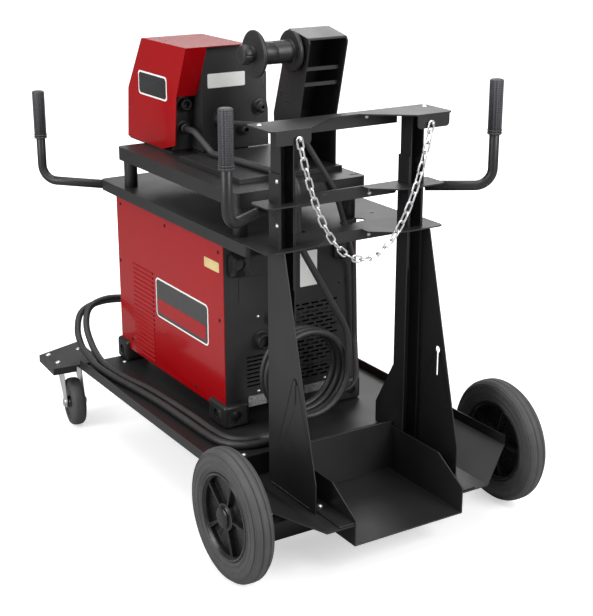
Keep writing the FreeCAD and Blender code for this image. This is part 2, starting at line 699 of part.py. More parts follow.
def fan_rotor():
    y = REAR_PANEL_Y
    bore = rod_y(FAN_SHAFT_R + FIT, y - 60, y, FAN_X, FAN_Z)
    blades = []
    for k in range(7):
        blade = box(17, 60, -11, 11, -1.2, 1.2)
        blade.rotate(Vector(0, 0, 0), AXIS_X, 32)
        blade.rotate(Vector(0, 0, 0), AXIS_Y, k * 360.0 / 7)
        blade.translate(Vector(FAN_X, y - 18.5, FAN_Z))
        blades.append(blade)
    hub = cut(rod_y(20, y - 31, y - 6, FAN_X, FAN_Z), bore)
    return fuse(hub, *blades).cut(bore)


add("case_cover", case_cover())
add("case_base", case_base())
add("case_rear_panel", case_rear_panel())
add("case_front_panel", case_front_panel())
add("output_knob", output_knob())
add("mains_switch", mains_switch())
add("case_bumpers", *case_bumpers())
add("power_stack", transformer_core(), transformer_coil(), heat_sink())
add("inverter_board", inverter_board())
add("fan_motor", fan_motor())
add("fan_rotor", fan_rotor())

# ------------------------------------------------------------------- feeder ----
FEED_X0, FEED_X1 = -95.0, 141.0
FEED_Z0, FEED_Z1 = 752.0, 1003.0
FEED_LINER_X = FEED_X1 - 2.2           # left limit of what fits inside the cover
WIRE_X, WIRE_Z = -65.0, 850.0          # wire line, along Y
CONTROL_Z = 830.0                      # height of the front knobs and button
SPEED_X, VOLTAGE_X, JOG_X = 100, 50, 0
DRIVE_Y, DRIVE_Z = -730.0, 834.0       # drive roll axis
ROLL_R = 15.9
IDLER_Z = DRIVE_Z + 2 * ROLL_R + FIT
PIVOT_Y, PIVOT_Z = -680.0, 893.0       # pressure arm pivot


def feeder_cover():
    """cover with a side outline (y, z) intersected with an end outline (x, z)"""
    side_outer = [(-784, FEED_Z1), (-557, FEED_Z1), (-612, 881), (-623, 770), (-689, FEED_Z0),
                  (-879, FEED_Z0), (-868, 874)]
    side_inner = [(-783, FEED_Z1 - 2), (-560, FEED_Z1 - 2), (-614.3, 881), (-625, 769),
                  (-625, 700), (-877, 700), (-866, 873.5)]
    end_outer = [(FEED_X0 - 5, 700), (FEED_X1, 700), (FEED_X1, FEED_Z1 + 5), (-18, FEED_Z1 + 5),
                 (-18, FEED_Z1), (-74, 948), (FEED_X0, 845)]
    end_inner = [(FEED_X0 - 3, 690), (FEED_X1 - 2, 690), (FEED_X1 - 2, FEED_Z1 + 5),
                 (-17, FEED_Z1 + 5), (-17, FEED_Z1 - 2.4), (-72.3, 947), (FEED_X0 + 2, 844)]

    def is_front(edge):
        return along(edge, AXIS_X) and start_of(edge).y < -750 and start_of(edge).z > 760

    outer = prism_x(side_outer, -110, FEED_X1 + 5).common(prism_y(end_outer, -900, -500))
    inner = prism_x(side_inner, -109, FEED_X1 + 4).common(prism_y(end_inner, -901, -499))
    cover = cut(fillet(outer, 12, is_front), fillet(inner, 10, is_front),
                box(-99, 87, -700, -500, 700, FEED_Z1 - 1.99),
                box(80, FEED_X1 - 2, -700, -590, 700, 886))
    cover = cover.cut(prism_y([(-88, 700), (87, 700), (87, 1001), (-19, 1001), (-73, 946),
                               (-93, 843)], -700, -500))
    return cut(cover, rod_y(13, -900, -860, WIRE_X, WIRE_Z),
               rod_y(4 + FIT, -900, -850, SPEED_X, CONTROL_Z),
               rod_y(4 + FIT, -900, -850, VOLTAGE_X, CONTROL_Z),
               rod_y(6 + FIT, -900, -850, JOG_X, CONTROL_Z))


def feeder_rear_panel():
    """stepped panel: a rear face, a side return and a narrower face further forward"""
    rear_face = prism_y([(-92, 756), (86.9, 756), (86.9, 998), (-17, 998), (-71, 944),
                         (-91, 842)], -590, -587)
    panel = fuse(rear_face, box(83.9, 86.9, -642, -587.5, 756, 998),
                 box(84, FEED_LINER_X, -642, -639, 756, 884))
    return cut(panel, rod_y(11, -600, -580, WIRE_X, WIRE_Z))


def feeder_chassis():
    """floor in two steps with an upright partition"""
    z0, z1 = SHELF2_Z + 0.1, SHELF2_Z + 3.1
    partition = prism_x([(-860, SHELF2_Z + 3), (-860, 860), (-822, 930), (-592, 930),
                         (-592, SHELF2_Z + 3)], -38, -35)
    chassis = fuse(box(-88, FEED_LINER_X, -874, -645, z0, z1),
                   box(-88, 83, -645.5, -591, z0, z1), partition)
    return cut(chassis, rod_x(14, -50, -20, DRIVE_Y, DRIVE_Z))


def wire_drive_unit():
    """gear block, motor, shaft, arm post and stud, then the wire inlet on its post"""
    drive = fuse(box(-48, -38.1, -775, -685, 800, 846), rod_x(6, -70, -38, DRIVE_Y, DRIVE_Z),
                 rod_x(24, -34.9, 60, DRIVE_Y, DRIVE_Z),
                 rod_x(13.9, -38.2, -34.8, DRIVE_Y, DRIVE_Z),
                 box(-48.05, -44, -690, -672, 800, 905), box(-48, -38.1, -690, -670, 800, 905),
                 rod_x(5, -70, -40, PIVOT_Y, PIVOT_Z))
    inlet = cut(rod_y(5, -704, -660, WIRE_X, WIRE_Z), rod_y(1.5, -710, -650, WIRE_X, WIRE_Z))
    inlet_post = box(-61, -48.05, -700, -692, 815, 847)
    return fuse(drive, inlet_post.cut(rod_y(4.9, -710, -650, WIRE_X, WIRE_Z)), inlet)


def drive_roll():
    """roll with a V groove and a flange"""
    profile = [(-71, 6 + FIT), (-71, ROLL_R), (-66, ROLL_R), (-65, ROLL_R - 1), (-64, ROLL_R),
               (-59, ROLL_R), (-59, 20), (-54, 20), (-54, 6 + FIT)]
    return revolve(profile, Vector(0, DRIVE_Y, DRIVE_Z), AXIS_X, AXIS_Z)


def idler_roll():
    return revolve([(-71, 4 + FIT), (-71, ROLL_R), (-59, ROLL_R), (-59, 4 + FIT)],
                   Vector(0, DRIVE_Y, IDLER_Z), AXIS_X, AXIS_Z)


def pressure_arm():
    """arm with a hub on the pivot stud, a stub for the idler and a tension knob on top"""
    top = PIVOT_Z + 8
    arm = prism_x([(PIVOT_Y + 9, PIVOT_Z - 6), (PIVOT_Y + 9, top), (DRIVE_Y - 14, top),
                   (DRIVE_Y - 14, IDLER_Z - 6), (DRIVE_Y + 14, IDLER_Z - 6),
                   (DRIVE_Y + 22, PIVOT_Z - 8)], -58, -52)
    arm = fuse(arm, rod_x(9, -66, -51, PIVOT_Y, PIVOT_Z),
               rod_x(4, -70, -51.9, DRIVE_Y, IDLER_Z), rod_z(9, top - 0.5, top + 22, -55, DRIVE_Y))
    return arm.cut(rod_x(5 + FIT, -80, -40, PIVOT_Y, PIVOT_Z))


def gun_adaptor():
    body = revolve([(0, 2), (0, 17), (9, 17), (9, 12.9), (60, 12.9), (60, 9), (88, 9), (88, 5),
                    (100, 5), (100, 2)], Vector(WIRE_X, -896, WIRE_Z), AXIS_Y, AXIS_X)
    return fuse(body, box(-53, -48.2, -830, -815, 842, 858))


def feeder_knob(x):
    cap = fillet(rod_y(14, -896, -878, x, CONTROL_Z), 1.5, lambda e: e.BoundBox.YMax < -895.5)
    return fuse(cap, rod_y(4.0, -879, -850, x, CONTROL_Z),
                box(x - 1.2, x + 1.2, -898, -895, CONTROL_Z, CONTROL_Z + 13))


def jog_button():
    return fuse(rod_y(6.0, -884, -852, JOG_X, CONTROL_Z), rod_y(8, -856, -852, JOG_X, CONTROL_Z))


add("feeder_cover", feeder_cover())
add("feeder_rear_panel", feeder_rear_panel())
add("feeder_chassis", feeder_chassis())
add("wire_drive_unit", wire_drive_unit())
add("drive_roll", drive_roll())
add("pressure_arm", pressure_arm())
add("idler_roll", idler_roll())
add("gun_adaptor", gun_adaptor())
add("speed_knob", feeder_knob(SPEED_X))
add("voltage_knob", feeder_knob(VOLTAGE_X))
add("jog_button", jog_button())


# --------------------------------------------------------- panel connectors ----
def socket(x, z, y, facing, radius):
    """flange, shell and blind bore; facing is +1 to the rear, -1 to the front"""
    profile = [(0, 0), (0, radius + 5), (3, radius + 5), (3, radius), (18, radius),
               (20, radius - 2), (20, radius - 5), (6, radius - 5), (6, 0)]
    return revolve(profile, Vector(x, y, z), Vector(0, facing, 0), AXIS_X)


def panel_connectors():
    case_rear, case_front = REAR_PANEL_Y + PANEL + 0.1, FRONT_PANEL_Y - 0.1
    step_y, rear_y = -638.95, -586.95        # the two rear faces of the feeder
    wire_inlet = revolve([(-4.9, 4), (-4.9, 10.9), (0.1, 10.9), (0.1, 18), (4, 18), (4, 14),
                          (18, 14), (22, 9), (22, 4)],
                         Vector(WIRE_X, -587, WIRE_Z), AXIS_Y, AXIS_X)
    return [socket(82, 366, case_rear, 1, 18), socket(56, 416, case_rear, 1, 10),
            socket(-80, 270, case_front, -1, 16), socket(70, 270, case_front, -1, 16),
            button_head(Vector(-132, case_rear, 469), AXIS_Y, 4.5, 2.5),
            button_head(Vector(-151, case_rear, 468), AXIS_Y, 4.5, 2.5),
            socket(109, 864, step_y, 1, 14), socket(112, 808, step_y, 1, 12), wire_inlet,
            socket(40, 830, rear_y, 1, 16), socket(-20, 800, rear_y, 1, 10)]


add("panel_connectors", *panel_connectors())


# ------------------------------------------------------------------- cables ----
def weld_cables():
    """two cables from the case front, round to the deck and back along it"""
    radius = 8.5
    lay_z = DECK_Z + radius + 1.2
    inner = [(70, -927, 262), (70, -982, 308), (236, -982, 318), (258, -908, 200),
             (257, -850, lay_z), (225, -300, lay_z), (190, -233, lay_z), (105, -233, lay_z)]
    outer = [(-80, -927, 262), (-80, -1014, 290), (268, -1014, 300), (284, -930, 205),
             (283, -862, lay_z), (252, -290, lay_z), (200, -208, lay_z), (105, -207, lay_z)]
    return [swept_bar(inner, [34, 62, 40, 38, 38, 38], radius),
            swept_bar(outer, [40, 64, 44, 40, 40, 40], radius)]


def control_cables():
    """cable ending in a half turn, a thinner line, and three hanging turns"""
    radius, coil_r, coil_x, coil_z = 7.5, 98.0, 23.0, 307.0
    y = -213.5
    diagonal = coil_r * math.sqrt(0.5)
    lead = [(112, -618.5, 808), (112, -580, 808), (104, -510, 768), (71, -195, 768),
            (71, -195, 628), (coil_x - coil_r, y, 392), (coil_x - coil_r, y, coil_z)]
    half_turn = [((coil_x - diagonal, y, coil_z - diagonal), (coil_x, y, coil_z - coil_r)),
                 ((coil_x + diagonal, y, coil_z - diagonal), (coil_x + coil_r, y, coil_z))]
    thin = [(40, -566.5, 830), (40, -520, 830), (62, -214, 872), (-30, -204, 726),
            (-57, -203, 640), (-157, -314, 520), (-166, -319, 335), (-148, -281, 222),
            (20, -281, 206.5)]
    turns = [Part.makeTorus(coil_r - 1.5 * k, radius,
                            Vector(coil_x + (k - 1) * 3, y - 16.5 * (k + 1), coil_z + (k - 1) * 2),
                            AXIS_Y) for k in range(3)]
    return [swept_bar(lead, [34, 34, 34, 120, 120], radius, arcs=half_turn),
            swept_bar(thin, [34, 34, 60, 60, 50, 60, 40], 6), *turns]


add("weld_cables", *weld_cables())
add("control_cable", *control_cables())

# ---------------------------------------------------------- retaining chain ----
LINK_COUNT = 31
LINK_PITCH = 21.7
LINK_INNER = 22.0        # inner length of a link
LINK_HALF_WIDTH = 6.5    # to the wire's centre
LINK_WIRE_R = 2.0
CHAIN_X, CHAIN_Y, CHAIN_Z = 163.0, -44.5, 888.0     # left end of the chain


def chain_link(centre, direction, turned):
    """one link, its long axis along direction in the XZ plane"""
    across = AXIS_Y if turned else direction.cross(AXIS_Y).normalize()
    side = across * LINK_HALF_WIDTH
    straight = LINK_INNER / 2 + LINK_WIRE_R - LINK_HALF_WIDTH    # half a straight leg
    leg, tip = direction * straight, direction * (straight + LINK_HALF_WIDTH)
    first, second = centre + side - leg, centre + side + leg
    third, fourth = centre - side + leg, centre - side - leg
    path = Part.Wire([Part.makeLine(first, second), Part.Arc(second, centre + tip, third).toShape(),
                      Part.makeLine(third, fourth),
                      Part.Arc(fourth, centre - tip, first).toShape()])
    section = Part.Wire([Part.makeCircle(LINK_WIRE_R, first, direction)])
    return path.makePipeShell([section], True, True)


def catenary_joints():
    """link joints hung between (-CHAIN_X, CHAIN_Z) and (CHAIN_X, CHAIN_Z)"""
    length = LINK_COUNT * LINK_PITCH
    low, high = 1.0, 4000.0
    for _ in range(80):
        scale = (low + high) / 2
        if 2 * scale * math.sinh(CHAIN_X / scale) > length * 1.0004:
            low = scale
        else:
            high = scale
    joints = []
    for k in range(LINK_COUNT + 1):
        x = scale * math.asinh((k * LINK_PITCH - length / 2) / scale)
        sag = scale * (math.cosh(x / scale) - math.cosh(CHAIN_X / scale))
        joints.append(Vector(x, CHAIN_Y, CHAIN_Z + sag))
    return joints


joints = catenary_joints()
add("retaining_chain", *[chain_link((end + start) * 0.5, (end - start).normalize(), k % 2 == 1)
                         for k, (start, end) in enumerate(zip(joints, joints[1:]))])
# centre of the hook pin, inside the last link
chain_hook = joints[-1] + (joints[-2] - joints[-1]).normalize() * 2.3

# ------------------------------------------------------------------- screws ----
FLANGE_SEAT = FLOOR_Z + SHEET + FIT
UPRIGHT_SEAT = UPRIGHT_X1 + FIT
DECK_SEAT = DECK_Z + FIT
# on both sides of the cart: x, y, z, direction on the left side, radius, height
PAIRED_SCREWS = [
    (158, 30, FLANGE_SEAT, AXIS_Z, 8, 4.4), (158, -60, FLANGE_SEAT, AXIS_Z, 8, 4.4),
    (162, UPRIGHT_Y0 + SHEET + 0.25 + 2.5, 790, AXIS_Y, 6, 3.2),
    (UPRIGHT_SEAT, -98, 793, AXIS_X, 5.5, 3), (UPRIGHT_SEAT, -98, 702, AXIS_X, 5.5, 3),
    (71, TOP_BRACKET_Y0 + SHEET + FIT, TOP_Z - 12, AXIS_Y, 5.5, 3),
    (71, SADDLE_FLAT_Y + FIT, MID_Z - 17.5, AXIS_Y, 5.5, 3),
    (71, SADDLE_FLAT_Y + FIT, LOW_Z - 14, AXIS_Y, 5.5, 3),
    (205, -126, TOP_Z + FIT, AXIS_Z, 7, 3.6),
    (215, -186, DECK_SEAT, AXIS_Z, 7, 3.8), (270, -186, DECK_SEAT, AXIS_Z, 7, 3.8),
    (192, -845, DECK_SEAT, AXIS_Z, 7, 3.8),
]
# on the sides of the power source: y, z
CASE_SIDE_SCREWS = [(-862, 586), (-618, 584), (-357, 582), (-875, 435), (-355, 424),
                    (-822, 238), (-476, 225)]
PAIRED_SCREWS += [(CASE_X + FIT, y, z, AXIS_X, 4.5, 2.2) for y, z in CASE_SIDE_SCREWS]
# single screws, same columns
SINGLE_SCREWS = [(x, REAR_PANEL_Y + PANEL + FIT, z, AXIS_Y, 4, 2.2)
                 for x, z in ((89, 423), (89, 241), (-93, 237))]
SINGLE_SCREWS += [(0, TOP_BRACKET_Y0 - FIT, TOP_Z - 20, -AXIS_Y, 6.5, 3.4),
                  (0, SADDLE_FLAT_Y - SHEET - FIT, MID_Z - 14, -AXIS_Y, 6, 3.2)]


def cart_screws():
    screws = []
    for side in (1, -1):
        for x, y in caster_bolt_places(side):
            screws.append(button_head(Vector(x, y, 174.05), AXIS_Z, 8, 4.4,
                                      shank_radius=4.3, shank=4.1))
        # chain hook: a headed pin behind the rear flange of the top bracket
        x, z = side * chain_hook.x, chain_hook.z
        screws.append(fuse(rod_y(2.4, TOP_BRACKET_Y1 + 0.02, -39.5, x, z),
                           rod_y(4.0, -39.6, -37.5, x, z)))
        for x, y, z, direction, radius, height in PAIRED_SCREWS:
            outward = Vector(side * direction.x, direction.y, direction.z)
            screws.append(button_head(Vector(side * x, y, z), outward, radius, height))
    for x, y, z, direction, radius, height in SINGLE_SCREWS:
        screws.append(button_head(Vector(x, y, z), direction, radius, height))
    return screws


add("cart_screws", *cart_screws())

# ------------------------------------------------------------------- output ----
bounds = [solid.BoundBox for solids in parts.values() for solid in solids]
shift_y = -(min(b.YMin for b in bounds) + max(b.YMax for b in bounds)) / 2
for name, solids in parts.items():
    piece = Part.makeCompound(solids)
    piece.translate(Vector(0, shift_y, 0))
    piece.exportStep("parts/" + name + ".step")
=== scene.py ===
# Welding cart carrying a power source and a wire feeder, with wheels, grips and weld cables.
# Metres, +Z up, ground at z = 0. The power source's front, where the weld cables leave,
# faces -Y and its rear panel +Y. "left" in names is +X, "right" is -X.
import bpy
import bmesh
import json
import math
import random
from mathutils import Vector, Matrix


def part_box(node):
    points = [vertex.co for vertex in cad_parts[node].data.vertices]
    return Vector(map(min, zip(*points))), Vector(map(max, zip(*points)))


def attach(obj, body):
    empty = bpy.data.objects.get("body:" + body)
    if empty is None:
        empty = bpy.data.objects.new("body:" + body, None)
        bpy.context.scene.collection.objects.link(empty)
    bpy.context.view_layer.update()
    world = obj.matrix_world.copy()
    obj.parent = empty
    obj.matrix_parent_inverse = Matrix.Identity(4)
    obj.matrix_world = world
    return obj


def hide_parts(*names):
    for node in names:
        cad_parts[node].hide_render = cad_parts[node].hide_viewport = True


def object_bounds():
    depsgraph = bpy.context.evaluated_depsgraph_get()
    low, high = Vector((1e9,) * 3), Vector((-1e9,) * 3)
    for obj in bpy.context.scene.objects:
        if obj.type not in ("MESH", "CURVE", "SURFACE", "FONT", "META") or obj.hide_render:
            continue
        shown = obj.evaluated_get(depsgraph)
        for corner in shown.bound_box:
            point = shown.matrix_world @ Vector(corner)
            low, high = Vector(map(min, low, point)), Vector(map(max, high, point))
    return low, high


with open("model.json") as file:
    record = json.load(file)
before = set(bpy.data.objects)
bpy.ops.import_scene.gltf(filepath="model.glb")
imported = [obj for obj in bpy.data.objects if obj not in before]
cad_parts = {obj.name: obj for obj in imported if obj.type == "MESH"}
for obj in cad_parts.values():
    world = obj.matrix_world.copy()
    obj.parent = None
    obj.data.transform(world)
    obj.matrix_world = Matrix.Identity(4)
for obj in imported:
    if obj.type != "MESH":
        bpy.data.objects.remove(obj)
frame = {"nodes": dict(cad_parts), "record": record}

rest_lo, rest_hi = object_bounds()
random.seed(7)
scene = bpy.context.scene
MM = 0.001
X_AXIS, Y_AXIS, Z_AXIS = Vector((1, 0, 0)), Vector((0, 1, 0)), Vector((0, 0, 1))


# ---------------------------------------------------------- shader nodes --
def add(tree, kind, inputs=None, **settings):
    """New shader node; inputs maps a name or number to a value or to a socket to link."""
    node = tree.nodes.new("ShaderNode" + kind)
    for key, value in settings.items():
        setattr(node, key, value)
    for key, value in (inputs or {}).items():
        if isinstance(value, bpy.types.NodeSocket):
            tree.links.new(value, node.inputs[key])
        else:
            node.inputs[key].default_value = value
    return node


def noise(tree, coords, scale, detail, roughness=0.5):
    inputs = {"Vector": coords, "Scale": scale, "Detail": detail, "Roughness": roughness}
    return add(tree, "TexNoise", inputs).outputs["Fac"]


def map_range(tree, value, to_min, to_max, from_min=0.0, from_max=1.0, **settings):
    inputs = {"Value": value, "From Min": from_min, "From Max": from_max,
              "To Min": to_min, "To Max": to_max}
    return add(tree, "MapRange", inputs, **settings).outputs[0]


def calc(tree, operation, *operands, clamp=False):
    """Math node over sockets and numbers."""
    inputs = dict(enumerate(operands))
    return add(tree, "Math", inputs, operation=operation, use_clamp=clamp).outputs[0]


def scaled_colour(tree, colour, factor):
    inputs = {0: colour, "Scale": factor}
    return add(tree, "VectorMath", inputs, operation="SCALE").outputs[0]


def mixed_colour(tree, factor, first, second):
    """Colour socket first, turning to the fixed colour second as factor rises."""
    inputs = {0: factor, 6: first, 7: (*second, 1)}
    return add(tree, "Mix", inputs, data_type="RGBA").outputs[2]


def bump_normal(tree, height, strength, distance, **settings):
    inputs = {"Height": height, "Strength": strength, "Distance": distance}
    return add(tree, "Bump", inputs, **settings)


def start_material(name, metal=0.0, spec=0.5, coat=0.0, coat_rough=0.1):
    """Material with a Principled shader; returns it, its tree, the shader and object coords."""
    made = bpy.data.materials.new(name)
    made.use_nodes = True
    tree = made.node_tree
    tree.nodes.clear()
    shader = add(tree, "BsdfPrincipled", {
        "Metallic": metal, "Specular IOR Level": spec,
        "Coat Weight": coat, "Coat Roughness": coat_rough})
    add(tree, "OutputMaterial", {0: shader.outputs[0]})
    return made, tree, shader, add(tree, "TexCoord").outputs["Object"]


def shader_of(made):
    return next(node for node in made.node_tree.nodes if node.type == "BSDF_PRINCIPLED")


def recolour(made, factor, colour):
    """Turn a finished material's base colour to another where factor is high."""
    base = shader_of(made).inputs["Base Color"]
    mixed = mixed_colour(made.node_tree, factor, base.links[0].from_socket, colour)
    made.node_tree.links.new(mixed, base)


def uneven_roughness(tree, coords, drift_scale, rough, gloss_drift):
    """Roughness that wanders to either side of rough, in finer patches than the colour."""
    patches = noise(tree, coords, scale=drift_scale * 4.3, detail=5.0)
    return map_range(tree, patches, to_min=max(0.02, rough - gloss_drift),
                     to_max=min(1.0, rough + gloss_drift))


def dusted(tree, coords, colour, amount, dust_colour):
    """Patchy dust on the faces that look up."""
    normal = add(tree, "NewGeometry").outputs["Normal"]
    upward = add(tree, "SeparateXYZ", {0: normal}).outputs["Z"]
    patches = noise(tree, coords, scale=35.0, detail=8.0, roughness=0.7)
    settled = calc(tree, "MULTIPLY", upward, patches, clamp=True)
    cover = calc(tree, "MULTIPLY", settled, amount, clamp=True)
    return mixed_colour(tree, cover, colour, dust_colour)


def scratched(tree, coords, roughness, amount):
    """Noise squeezed along Z, added to the roughness."""
    squeezed = add(tree, "Mapping", {"Vector": coords, "Scale": (1, 1, 30)}).outputs[0]
    lines = noise(tree, squeezed, scale=20.0, detail=10.0, roughness=0.8)
    return calc(tree, "MULTIPLY_ADD", lines, amount, roughness, clamp=True)


# ------------------------------------------------------------- materials --
def material(name, base, rough, tint_drift=0.25, drift_scale=6.0, gloss_drift=0.12,
             grain=0.0, grain_scale=900.0, ripple=0.0, ripple_scale=40.0,
             dust=0.0, dust_colour=(0.45, 0.44, 0.42), scratch=0.0, **shader_values):
    """Paint, plastic, rubber or metal with drifting colour and gloss.

    grain and ripple are the strengths of a fine and a broad bump.
    """
    made, tree, shader, coords = start_material(name, **shader_values)
    drift = noise(tree, coords, scale=drift_scale, detail=6.0, roughness=0.6)
    factor = map_range(tree, drift, from_min=0.3, from_max=0.7,
                       to_min=1 - tint_drift, to_max=1 + tint_drift)
    colour = scaled_colour(tree, base, factor)
    if dust > 0:
        colour = dusted(tree, coords, colour, dust, dust_colour)
    tree.links.new(colour, shader.inputs["Base Color"])

    roughness = uneven_roughness(tree, coords, drift_scale, rough, gloss_drift)
    if scratch > 0:
        roughness = scratched(tree, coords, roughness, scratch)
    tree.links.new(roughness, shader.inputs["Roughness"])

    if grain > 0:
        height = noise(tree, coords, scale=grain_scale, detail=3.0)
        relief = bump_normal(tree, height, strength=grain, distance=0.0006)
        if ripple > 0:
            height = noise(tree, coords, scale=ripple_scale, detail=4.0)
            broad = bump_normal(tree, height, strength=ripple, distance=0.002)
            tree.links.new(relief.outputs[0], broad.inputs["Normal"])
            relief = broad
        tree.links.new(relief.outputs[0], shader.inputs["Normal"])
    return made


def knurled_rubber(name, base, rough):
    """Rubber with a near-regular grid of raised cells, painted lighter on the cell tops and
    darker in the grooves between them: painted highlight and painted shade.
    """
    made, tree, shader, coords = start_material(name)
    roughness = uneven_roughness(tree, coords, drift_scale=30.0, rough=rough, gloss_drift=0.12)
    tree.links.new(roughness, shader.inputs["Roughness"])
    cell_density = 900.0 / 4.2
    cells = add(tree, "TexVoronoi", {"Vector": coords, "Scale": cell_density,
                                     "Randomness": 0.15}).outputs["Distance"]
    relief = bump_normal(tree, cells, strength=0.9, distance=0.0012, invert=True)
    tree.links.new(relief.outputs[0], shader.inputs["Normal"])
    # painted highlight on the cell tops (up to 1.9 times the base colour) and painted shade in
    # the grooves (half of it)
    factor = map_range(tree, cells, from_max=0.6, to_min=1.9, to_max=0.5)
    tree.links.new(scaled_colour(tree, base, factor), shader.inputs["Base Color"])
    return made


def blacken_case_screws(made):
    """Darken the metal in a thin layer on both sides of the case cover, where its screws are."""
    tree = made.node_tree
    position = add(tree, "NewGeometry").outputs["Position"]
    place = add(tree, "SeparateXYZ", {0: position}).outputs
    low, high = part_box("case_cover")
    layers = (  # coordinate, centre, half width
        (calc(tree, "ABSOLUTE", place["X"]), high.x + 0.0015, 0.0035),
        (place["Y"], (low.y + high.y) / 2, (high.y - low.y) / 2),
        (place["Z"], (low.z + high.z) / 2, (high.z - low.z) / 2))
    inside = [calc(tree, "COMPARE", *layer) for layer in layers]
    mask = calc(tree, "MULTIPLY", inside[0], inside[1])
    mask = calc(tree, "MULTIPLY", mask, inside[2])
    recolour(made, mask, (0.035, 0.02, 0.02))


# by material slot
MATERIALS = {
    "black_steel": material("powder_coat_black", (0.0140, 0.0134, 0.0136), rough=0.42,
                            drift_scale=3.0, gloss_drift=0.08,
                            grain=0.2, grain_scale=1100, dust=0.012),
    "red_cover": material("gloss_paint_red", (0.30, 0.0009, 0.0030), rough=0.22,
                          coat=0.22, coat_rough=0.05, spec=0.2,
                          tint_drift=0.06, drift_scale=2.0, gloss_drift=0.06,
                          grain=0.07, grain_scale=500, ripple=0.04, ripple_scale=18),
    "tyre": material("rubber_tyre", (0.053, 0.052, 0.054), rough=0.66,
                     tint_drift=0.14, drift_scale=22, grain=0.35, grain_scale=800,
                     ripple=0.1, ripple_scale=90, dust=0.12, dust_colour=(0.3, 0.3, 0.29)),
    "rim": material("moulded_nylon", (0.0065, 0.0065, 0.007), rough=0.3,
                    drift_scale=25, grain=0.2, dust=0.01),
    "caster_tyre": material("rubber_caster", (0.05, 0.05, 0.051), rough=0.6,
                            tint_drift=0.2, drift_scale=40, grain=0.3),
    "zinc": material("zinc_plate", (0.84, 0.84, 0.86), rough=0.36, metal=1.0,
                     tint_drift=0.12, drift_scale=60, gloss_drift=0.1,
                     grain=0.1, grain_scale=600),
    "black_plastic": material("moulded_black", (0.013, 0.013, 0.0135), rough=0.42,
                              drift_scale=14, grain=0.3, grain_scale=1300),
    "panel": material("textured_black_panel", (0.015, 0.015, 0.0155), rough=0.48,
                      drift_scale=5, grain=0.6, grain_scale=1500),
    "grip": knurled_rubber("knurled_grip", (0.055, 0.056, 0.062), rough=0.55),
    "steel": material("machined_steel", (0.5, 0.5, 0.5), rough=0.3, metal=1.0,
                      tint_drift=0.12, drift_scale=30, scratch=0.2, grain=0.1),
    "cable": material("cable_jacket", (0.022, 0.0222, 0.024), rough=0.5,
                      tint_drift=0.22, drift_scale=18, grain=0.25, grain_scale=1000, dust=0.06),
    "copper": material("laminated_core", (0.25, 0.17, 0.11), rough=0.4, metal=0.7,
                       tint_drift=0.3, drift_scale=70, grain=0.2),
    "board": material("circuit_board", (0.02, 0.12, 0.05), rough=0.35,
                      tint_drift=0.4, drift_scale=120, grain=0.2),
}
blacken_case_screws(MATERIALS["zinc"])

label_light = material("label_film_light", (0.85, 0.85, 0.83), rough=0.4, coat=0.3,
                       tint_drift=0.05, drift_scale=15, grain=0.05)
label_dark = material("label_film_dark", (0.02, 0.02, 0.022), rough=0.3, coat=0.5,
                      tint_drift=0.2, drift_scale=15, grain=0.05)
label_grey = material("label_film_grey", (0.2, 0.2, 0.2), rough=0.4, coat=0.3,
                      tint_drift=0.5, drift_scale=160, grain=0.05)
# lighter grey for the rim lips: a painted highlight along the glossy rim edges
rim_lip = material("rim_lip_painted_highlight", (0.05, 0.05, 0.052), rough=0.3,
                   tint_drift=0.3, drift_scale=60, grain=0.1)
label_gold = material("label_film_gold", (0.62, 0.5, 0.22), rough=0.35, coat=0.4,
                      tint_drift=0.12, drift_scale=25, grain=0.05)


# ------------------------------------------------------------ CAD pieces --
# flat-shaded sheet metal
SHEET = {
    "base_pan", "deck_plate", "caster_wings", "cylinder_tray", "uprights",
    "upright_extensions", "side_gussets", "bracket_top", "bracket_middle", "bracket_lower",
    "lower_shelf", "feeder_shelf", "mast_base", "spool_mast", "case_base", "case_rear_panel",
    "case_front_panel", "feeder_rear_panel", "feeder_chassis", "feeder_cover", "case_cover"}
# bevel width by material slot; slots left out stay unbevelled
EDGE_WIDTH = {
    "black_steel": 0.0009, "red_cover": 0.0007, "rim": 0.0008, "zinc": 0.0004,
    "black_plastic": 0.0006, "panel": 0.0005, "steel": 0.0003, "copper": 0.0004,
    "board": 0.0002}
NO_BEVEL = {"retaining_chain", "handle_tubes", "control_cable", "weld_cables", "cart_screws",
            "case_rear_panel"}


def shade_smooth(mesh, sharp_degrees):
    mesh.polygons.foreach_set("use_smooth", [True] * len(mesh.polygons))
    mesh.set_sharp_from_angle(angle=math.radians(sharp_degrees))


def finish_part(part, edge_width):
    """Flat sheet or soft curves, with a small broken edge on every corner."""
    flat = part.name in SHEET
    if flat:
        part.data.polygons.foreach_set("use_smooth", [False] * len(part.data.polygons))
    else:
        shade_smooth(part.data, sharp_degrees=30)
    weld = part.modifiers.new("weld", "WELD")
    weld.merge_threshold = 2e-6
    if edge_width > 0:
        edge = part.modifiers.new("edge", "BEVEL")
        edge.width = edge_width
        edge.segments = 2
        edge.limit_method = "ANGLE"
        edge.angle_limit = math.radians(32)
        edge.harden_normals = not flat
        edge.use_clamp_overlap = True


slot_of = {record["node"]: record["material_slot"] for record in frame["record"]["subparts"]}
for name, part in frame["nodes"].items():
    slot = slot_of[name]
    part.data.materials.clear()
    part.data.materials.append(MATERIALS[slot])
    finish_part(part, 0 if name in NO_BEVEL else EDGE_WIDTH.get(slot, 0))


# ------------------------------------------------------- mesh helpers -----
def add_object(bm, name, made, body="cart"):
    mesh = bpy.data.meshes.new(name)
    bm.normal_update()
    bm.to_mesh(mesh)
    bm.free()
    added = bpy.data.objects.new(name, mesh)
    scene.collection.objects.link(added)
    mesh.materials.append(made)
    shade_smooth(mesh, sharp_degrees=35)
    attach(added, body)
    return added


def face_outward(bm):
    bmesh.ops.recalc_face_normals(bm, faces=bm.faces[:])


